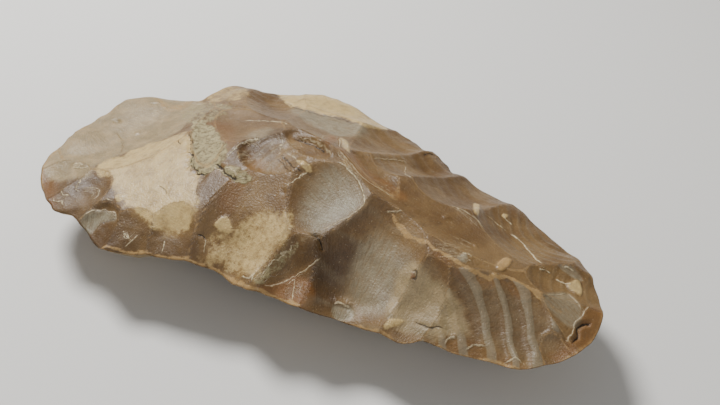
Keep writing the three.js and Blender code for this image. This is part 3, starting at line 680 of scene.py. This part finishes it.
def planGrid():
    # straight lines from a spine in the middle of the plan to the rim; the far and the near half
    # of the rim meet the same points of the spine; gives the points as rows by columns
    line, half = rimLine(), axe["cellsRound"] // 2
    middle = axe["rimRays"] // 2
    rim = np.concatenate([evenly(line[:middle + 1], half), evenly(line[middle:], half)])
    turn = fullTurn * np.arange(2 * half) / (2 * half)
    spine = np.stack([axe["spineReach"] * np.cos(turn), np.zeros(2 * half)], -1)
    out = np.linspace(0, 1, axe["cellsOut"] + 1)[:, None, None]
    grid = spine + (rim - spine) * out
    return grid[..., 0], grid[..., 1]


def cellTriangles(index, x, y, z, faceUp):
    # two triangles for each cell, cut along the diagonal whose ends are more nearly level, so that
    # cuts follow the ridges; a diagonal that would leave a thin or a folded triangle isn't taken
    around = lambda a: [a[:-1], a[1:], np.roll(a, -1, 1)[1:], np.roll(a, -1, 1)[:-1]]
    a, b, c, d = around(index)
    corners = [np.stack(p, -1) for p in zip(around(x), around(y))]
    heights = around(z)

    def area(i, j, k):
        first, second = corners[j] - corners[i], corners[k] - corners[i]
        return first[..., 0] * second[..., 1] - first[..., 1] * second[..., 0]

    whole = area(0, 1, 2) + area(0, 2, 3) + 1e-9
    leastAC = np.minimum(area(0, 1, 2), area(0, 2, 3)) / whole
    leastBD = np.minimum(area(0, 1, 3), area(1, 2, 3)) / whole
    thin = (leastAC < axe["thinShare"]) | (leastBD < axe["thinShare"])
    level = np.abs(heights[0] - heights[2]) < np.abs(heights[1] - heights[3])
    cutAC = np.where(thin, leastAC > leastBD, level)[..., None]
    first = np.where(cutAC, np.stack([a, b, c], -1), np.stack([a, b, d], -1))
    second = np.where(cutAC, np.stack([a, c, d], -1), np.stack([b, c, d], -1))
    triangles = np.concatenate([first.reshape(-1, 3), second.reshape(-1, 3)])
    return triangles if faceUp else triangles[:, ::-1]


# what each attribute of the mesh holds
pointValues = {
    "stain": ("cream", "crust", "olive"),
    "tint": ("veil", "rust", "umber"),
    "line": ("lineSide", "lineTone", "orangeCream"),
    "blow": ("blowAcross", "blowAlong", "blowScar"),
    "wearAndSheen": ("ridge", "edge", "wave"),
}


def putAttribute(mesh, name, parts):     # three numbers at each point, for the material
    attribute = mesh.attributes.new(name, "FLOAT_VECTOR", "POINT")
    attribute.data.foreach_set("vector", np.stack(parts, -1).astype(np.float32).ravel())


def buildAxe():
    # both faces on the plan grid, sharing the rim's points, as one mesh centred on the plan; what the
    # material reads is stored at each point, three numbers at a time
    x, y = planGrid()
    upper, lower, looks = faces(x, y)
    rows, columns = x.shape
    upper[-1] = lower[-1] = (upper[-1] + lower[-1]) / 2
    column = np.arange(columns)
    index = np.arange(x.size).reshape(x.shape)
    index[0] = np.minimum(column, columns - column)
    below = index + x.size
    below[-1] = index[-1]
    points = np.concatenate([np.stack([x, y, upper], -1), np.stack([x, y, lower], -1)]).reshape(-1, 3)
    triangles = np.concatenate([
        cellTriangles(index, x, y, upper, True), cellTriangles(below, x, y, lower, False)])
    used, triangles = np.unique(triangles, return_inverse=True)
    triangles = triangles.reshape(-1, 3)
    points = points[used]
    middle = (points.max(0) + points.min(0)) / 2
    shift = np.array([-middle[0], -middle[1], 0])
    points = (points + shift) * mm
    mesh = bpy.data.meshes.new("flintAxe")
    mesh.vertices.add(len(points))
    mesh.vertices.foreach_set("co", points.astype(np.float32).ravel())
    mesh.loops.add(triangles.size)
    mesh.loops.foreach_set("vertex_index", triangles.astype(np.int32).ravel())
    mesh.polygons.add(len(triangles))
    mesh.polygons.foreach_set("loop_start", np.arange(0, triangles.size, 3, dtype=np.int32))
    mesh.update(calc_edges=True)
    mesh.shade_smooth()
    for look in looks:
        look.update(look["paint"], lineSide=look["line"][0], lineTone=look["line"][1])
        look.update(blowAcross=look["blow"][0], blowAlong=look["blow"][1], blowScar=look["blow"][2])
    for name, keys in pointValues.items():
        parts = [np.concatenate([look[key].ravel() for look in looks])[used] for key in keys]
        putAttribute(mesh, name, parts)
    piece = bpy.data.objects.new("flintAxe", mesh)
    bpy.context.collection.objects.link(piece)
    print("stone meshed:", len(triangles), "triangles, box", points.min(0), points.max(0))
    return piece, shift


axePiece, planShift = buildAxe()


def linearColour(hexText, alpha=1.0):     # sRGB hex to linear light
    parts = [int(hexText[i:i + 2], 16) / 255 for i in (1, 3, 5)]
    return [p / 12.92 if p <= 0.04045 else ((p + 0.055) / 1.055) ** 2.4 for p in parts] + [alpha]


def addNode(tree, kind, settings=None, inputs=None):   # one node with its settings, values and links
    node = tree.nodes.new(kind)
    for name, value in (settings or {}).items():
        setattr(node, name, value)
    for name, value in (inputs or {}).items():
        if isinstance(value, bpy.types.NodeSocket):
            tree.links.new(value, node.inputs[name])
        else:
            node.inputs[name].default_value = value
    return node


# Flint, struck by hand and long buried: a dense waxy stone. The eye sees a brown body that lets a
# little light in, pale veils on the hackles, cream cortex, a rough lime crust, rust and bruised edges.
flint = {
    "colours": {
        "brown": "#624828", "brownPale": "#80653F", "brownDark": "#42301A",
        "cream": "#C8AC74", "creamShade": "#9F8456", "crust": "#AC9F76", "crustShade": "#6A5B3C",
        "olive": "#8C7A58", "olivePale": "#A38D68", "veil": "#938A72", "rust": "#7C5226",
        "umber": "#432F1C", "gold": "#AC8A58", "bruise": "#DCCBA4", "shadow": "#22170D"},
    # width of the widest clouds in mm, detail, roughness; the hackles are laid out from the blow
    "noises": {
        "cloud": (14.0, 4, 0.6), "streak": (3.0, 5, 0.65), "grain": (0.45, 3, 0.6), "fine": (1.1, 6, 0.7),
        "hackle": (1.0, 3, 0.6), "mottle": (2.2, 8, 0.75), "breaks": (0.7, 3, 0.7)},
    "softBorders": {"cream": 0.3, "crust": 0.3, "gold": 0.25},
    # mm of relief
    "hackleHeight": 0.13, "grainHeight": 0.13, "crustHeight": 0.22, "lineHeight": 0.12,
    "shader": {"IOR": 1.54, "Subsurface Weight": 0.08, "Subsurface Radius": (1.0, 0.6, 0.35),
               "Subsurface Scale": 0.0012, "Specular IOR Level": 0.32, "Coat Weight": 0.04,
               "Coat Roughness": 0.3},
}

# what a step of the finish can be: its node, settings, the sockets it fills in turn, and its result
stepKinds = {
    "ramp": ("ShaderNodeMapRange", {"interpolation_type": "SMOOTHSTEP"},
             ("Value", "From Min", "From Max", "To Min", "To Max"), "Result"),
    "blend": ("ShaderNodeMix", {"data_type": "RGBA"}, (0, 6, 7), 2),
    "add": ("ShaderNodeMath", {"operation": "ADD"}, (0, 1), 0),
    "subtract": ("ShaderNodeMath", {"operation": "SUBTRACT"}, (0, 1), 0),
    "multiply": ("ShaderNodeMath", {"operation": "MULTIPLY"}, (0, 1), 0),
    "maximum": ("ShaderNodeMath", {"operation": "MAXIMUM"}, (0, 1), 0),
    "absolute": ("ShaderNodeMath", {"operation": "ABSOLUTE"}, (0,), 0),
}

# names of the three numbers that each attribute brings
attributeParts = {
    "stain": ("creamZone", "crustZone", "oliveZone"),
    "tint": ("veilZone", "rustZone", "umberZone"),
    "line": ("lineSide", "lineTone", "goldZone"),
    "blow": ("blowAcross", "blowAlong", "blowScar"),
    "wearAndSheen": ("ridge", "edge", "wave"),
}

# Each step: its name, its kind, and what it reads, by the name of a colour, a noise or an earlier step.
# A ramp reads start, end and the two values between which it climbs; a blend reads share, under, over.
noiseSteps = [
    ("fineOff", "subtract", "fine", 0.5),
    ("fineSpread", "multiply", "fineOff", 1.5),
    ("fineStray", "multiply", "fineOff", 0.5),
]
borderSteps = [step for zone, soft in flint["softBorders"].items() for step in (
    (zone + "Spread", "add", zone + "Zone", "fineSpread"),
    (zone + "Border", "ramp", zone + "Spread", 0.5 - soft, 0.5 + soft),
    (zone + "Core", "ramp", zone + "Zone", 0.02, 0.5),
    (zone + "Share", "multiply", zone + "Border", zone + "Core"))]
bodySteps = [
    ("paleCloud", "ramp", "cloud", 0.35, 0.65),
    ("body", "blend", "paleCloud", "brown", "brownPale"),
    ("darkStreak", "ramp", "streak", 0.5, 0.8, 0, 0.5),
    ("body", "blend", "darkStreak", "body", "brownDark"),
    ("paleHackle", "ramp", "hackle", 0.5, 0.8, 0, 0.4),
    ("body", "blend", "paleHackle", "body", "brownPale"),
    ("umberStreak", "ramp", "streak", 0.2, 0.7, 0.6, 1.0),
    ("umberShare", "multiply", "umberZone", "umberStreak"),
    ("body", "blend", "umberShare", "body", "umber"),
    ("rustStreak", "ramp", "streak", 0.25, 0.65, 0.5, 1.0),
    ("rustShare", "multiply", "rustZone", "rustStreak"),
    ("body", "blend", "rustShare", "body", "rust"),
    # the raised ripple bands are painted paler with the veil: partly patina, partly a painted highlight
    ("ripplePatinaAndSheen", "ramp", "wave", 0.0, 0.2, 0, 0.5),
    ("veilHackle", "ramp", "hackle", 0.3, 0.62, 0.45, 1.0),
    ("veilOn", "multiply", "veilZone", "veilHackle"),
    ("veilAndRippleSheen", "maximum", "veilOn", "ripplePatinaAndSheen"),
    ("body", "blend", "veilAndRippleSheen", "body", "veil"),
]
cortexSteps = [
    ("oliveStreak", "ramp", "streak", 0.35, 0.7),
    ("oliveMix", "blend", "oliveStreak", "olive", "olivePale"),
    ("oliveShare", "ramp", "oliveZone", 0.1, 0.9),
    ("body", "blend", "oliveShare", "body", "oliveMix"),
    ("creamStreak", "ramp", "streak", 0.42, 0.75),
    ("creamMix", "blend", "creamStreak", "cream", "creamShade"),
    ("body", "blend", "creamShare", "body", "creamMix"),
    ("crustGrain", "ramp", "fine", 0.35, 0.6),
    ("crustMix", "blend", "crustGrain", "crustShade", "crust"),
    ("body", "blend", "crustShare", "body", "crustMix"),
    ("body", "blend", "goldShare", "body", "gold"),
]
wearSteps = [
    ("darkGrain", "ramp", "grain", 0.62, 0.78, 0, 0.35),
    ("body", "blend", "darkGrain", "body", "brownDark"),
    ("paleGrain", "ramp", "grain", 0.36, 0.26, 0, 0.3),
    ("body", "blend", "paleGrain", "body", "bruise"),
    # pale gold along the ridges: partly wear, partly a painted highlight on the ridge lines
    ("ridgeOn", "ramp", "ridge", 0.45, 1.0, 0, 0.75),
    ("ridgeBreaks", "ramp", "fine", 0.4, 0.6, 0.15, 1.0),
    ("ridgeShare", "multiply", "ridgeOn", "ridgeBreaks"),
    ("body", "blend", "ridgeShare", "body", "gold"),
    ("edgeOn", "ramp", "edge", 0.55, 1.0),
    ("edgeBreaks", "ramp", "fine", 0.38, 0.58, 0.2, 0.9),
    ("edgeShare", "multiply", "edgeOn", "edgeBreaks"),
    ("body", "blend", "edgeShare", "body", "gold"),
    ("mottleShare", "ramp", "mottle", 0.3, 0.7, 0.0, 0.42),
    ("bodyShade", "blend", 0.55, "body", "brownDark"),
    ("body", "blend", "mottleShare", "body", "bodyShade"),
]
lineSteps = [
    ("lineGap", "absolute", "lineSide"),
    ("offLine", "add", "lineGap", "fineStray"),
    ("onLine", "ramp", "offLine", 0.18, 0.05),     # mm
    ("lineBreaks", "ramp", "breaks", 0.36, 0.6, 0.25, 0.85),
    ("brokenLine", "multiply", "onLine", "lineBreaks"),
    ("paleTone", "ramp", "lineTone", 0.05, 0.9),
    ("paleLine", "multiply", "brokenLine", "paleTone"),
    ("body", "blend", "paleLine", "body", "bruise"),
    ("darkTone", "ramp", "lineTone", -0.05, -0.9, 0, 0.9),
    ("darkLine", "multiply", "onLine", "darkTone"),
    ("body", "blend", "darkLine", "body", "shadow"),
]
surfaceSteps = [
    ("fineRough", "ramp", "fine", 0.3, 0.7, 0.34, 0.52),
    ("crustRough", "multiply", "crustShare", 0.35),
    ("roughest", "add", "fineRough", "crustRough"),
    ("creamPolish", "multiply", "creamZone", 0.07),
    ("rough", "subtract", "roughest", "creamPolish"),
    ("relief", "multiply", "hackle", flint["hackleHeight"]),
    ("grainRelief", "multiply", "grain", flint["grainHeight"]),
    ("relief", "add", "relief", "grainRelief"),
    ("crustFine", "multiply", "crustShare", "fine"),
    ("crustRelief", "multiply", "crustFine", flint["crustHeight"]),
    ("relief", "add", "relief", "crustRelief"),
    ("lineOn", "multiply", "onLine", "lineTone"),
    ("lineRelief", "multiply", "lineOn", flint["lineHeight"]),
    ("relief", "add", "relief", "lineRelief"),
]


def knappedFlint():
    # the body's brown is covered layer by layer: veils (with a painted sheen on the ripple bands), zones,
    # crust, grain, worn ridges (partly a painted highlight), then the lines; every layer is under + share
    # * (over - under), and the relief is a sum of noises
    material = bpy.data.materials.new("knappedFlint")
    material.use_nodes = True
    tree = material.node_tree
    tree.nodes.clear()
    made = {name: linearColour(colour) for name, colour in flint["colours"].items()}
    coords = addNode(tree, "ShaderNodeTexCoord")
    inMm = addNode(tree, "ShaderNodeMapping", {}, {
        "Vector": coords.outputs["Object"], "Scale": (1000, 1000, 1000)}).outputs["Vector"]
    for name, parts in attributeParts.items():
        made[name] = addNode(tree, "ShaderNodeAttribute", {"attribute_name": name}).outputs["Vector"]
        split = addNode(tree, "ShaderNodeSeparateXYZ", {}, {"Vector": made[name]})
        made.update(zip(parts, split.outputs))
    for name, (gap, detail, roughness) in flint["noises"].items():
        made[name] = addNode(tree, "ShaderNodeTexNoise", {}, {
            "Vector": made["blow"] if name == "hackle" else inMm, "Scale": 1 / gap,
            "Detail": detail, "Roughness": roughness}).outputs["Fac"]
    for name, step, *reads in (noiseSteps + borderSteps + bodySteps + cortexSteps + wearSteps
                               + lineSteps + surfaceSteps):
        kind, settings, sockets, result = stepKinds[step]
        values = [made[read] if isinstance(read, str) else read for read in reads]
        made[name] = addNode(tree, kind, settings, dict(zip(sockets, values))).outputs[result]
    bump = addNode(tree, "ShaderNodeBump", {}, {
        "Strength": 1.0, "Distance": mm, "Height": made["relief"]})
    shader = addNode(tree, "ShaderNodeBsdfPrincipled", {}, dict(flint["shader"], **{
        "Base Color": made["body"], "Roughness": made["rough"], "Normal": bump.outputs["Normal"]}))
    addNode(tree, "ShaderNodeOutputMaterial", {}, {"Surface": shader.outputs["BSDF"]})
    return material


axePiece.data.materials.append(knappedFlint())
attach(axePiece, "root")
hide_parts("hand_axe")
print("flint finished")

studio = {
    "floorColour": "#D9D7D2", "floorRoughness": 0.9, "floorHalf": 1.5,
    "lightColour": "#FFFFFF", "lightAim": (0, 0, 0.01), "airStrength": 0.26,
    # place, size and power of each lamp
    "lights": {"keyLight": ((-0.3, 0.1, 0.45), 0.18, 4.8), "fillLight": ((0.4, -0.4, 0.4), 0.5, 1.0)},
    "target": (7.6, 6.7, 16.0), "turn": 34.0, "height": 41.0, "distance": 212.0,
    "lens": 45.0, "sensor": 36.0, "nearest": 0.01,
}


def layFloor():                     # a square with its middle under the stone
    half = studio["floorHalf"]
    corners = [(-half, -half, 0), (half, -half, 0), (half, half, 0), (-half, half, 0)]
    mesh = bpy.data.meshes.new("floor")
    mesh.from_pydata(corners, [], [(0, 1, 2, 3)])
    floor = bpy.data.objects.new("floor", mesh)
    bpy.context.collection.objects.link(floor)
    material = bpy.data.materials.new("paintedFloor")
    material.use_nodes = True
    shader = material.node_tree.nodes["Principled BSDF"]
    shader.inputs["Base Color"].default_value = linearColour(studio["floorColour"])
    shader.inputs["Roughness"].default_value = studio["floorRoughness"]
    mesh.materials.append(material)


def addLight(name, place, size, power):     # a round lamp that faces the aim
    data = bpy.data.lights.new(name, "AREA")
    data.shape = "DISK"
    data.size = size
    data.energy = power
    data.color = linearColour(studio["lightColour"])[:3]
    light = bpy.data.objects.new(name, data)
    bpy.context.collection.objects.link(light)
    light.location = place
    away = Vector(place) - Vector(studio["lightAim"])
    light.rotation_euler = away.to_track_quat("Z", "Y").to_euler()


def fillAir():                      # even light from all round
    world = bpy.data.worlds.new("studioAir")
    world.use_nodes = True
    air = world.node_tree.nodes["Background"].inputs
    air["Color"].default_value = linearColour(studio["lightColour"])
    air["Strength"].default_value = studio["airStrength"]
    bpy.context.scene.world = world


def setCamera():
    # target plus distance times the direction back to the eye, which turn and height give
    turn, height = math.radians(studio["turn"]), math.radians(studio["height"])
    level = math.cos(height)
    back = Vector((math.sin(turn) * level, -math.cos(turn) * level, math.sin(height)))
    target = (Vector(studio["target"]) + Vector(planShift)) * mm
    data = bpy.data.cameras.new("camera")
    data.lens = studio["lens"]
    data.sensor_width = studio["sensor"]
    data.clip_start = studio["nearest"]
    camera = bpy.data.objects.new("camera", data)
    bpy.context.collection.objects.link(camera)
    camera.location = target + back * studio["distance"] * mm
    camera.rotation_euler = back.to_track_quat("Z", "Y").to_euler()
    bpy.context.scene.camera = camera


layFloor()
for lightName, (lightPlace, lightSize, lightPower) in studio["lights"].items():
    addLight(lightName, lightPlace, lightSize, lightPower)
fillAir()
setCamera()
print("studio set")
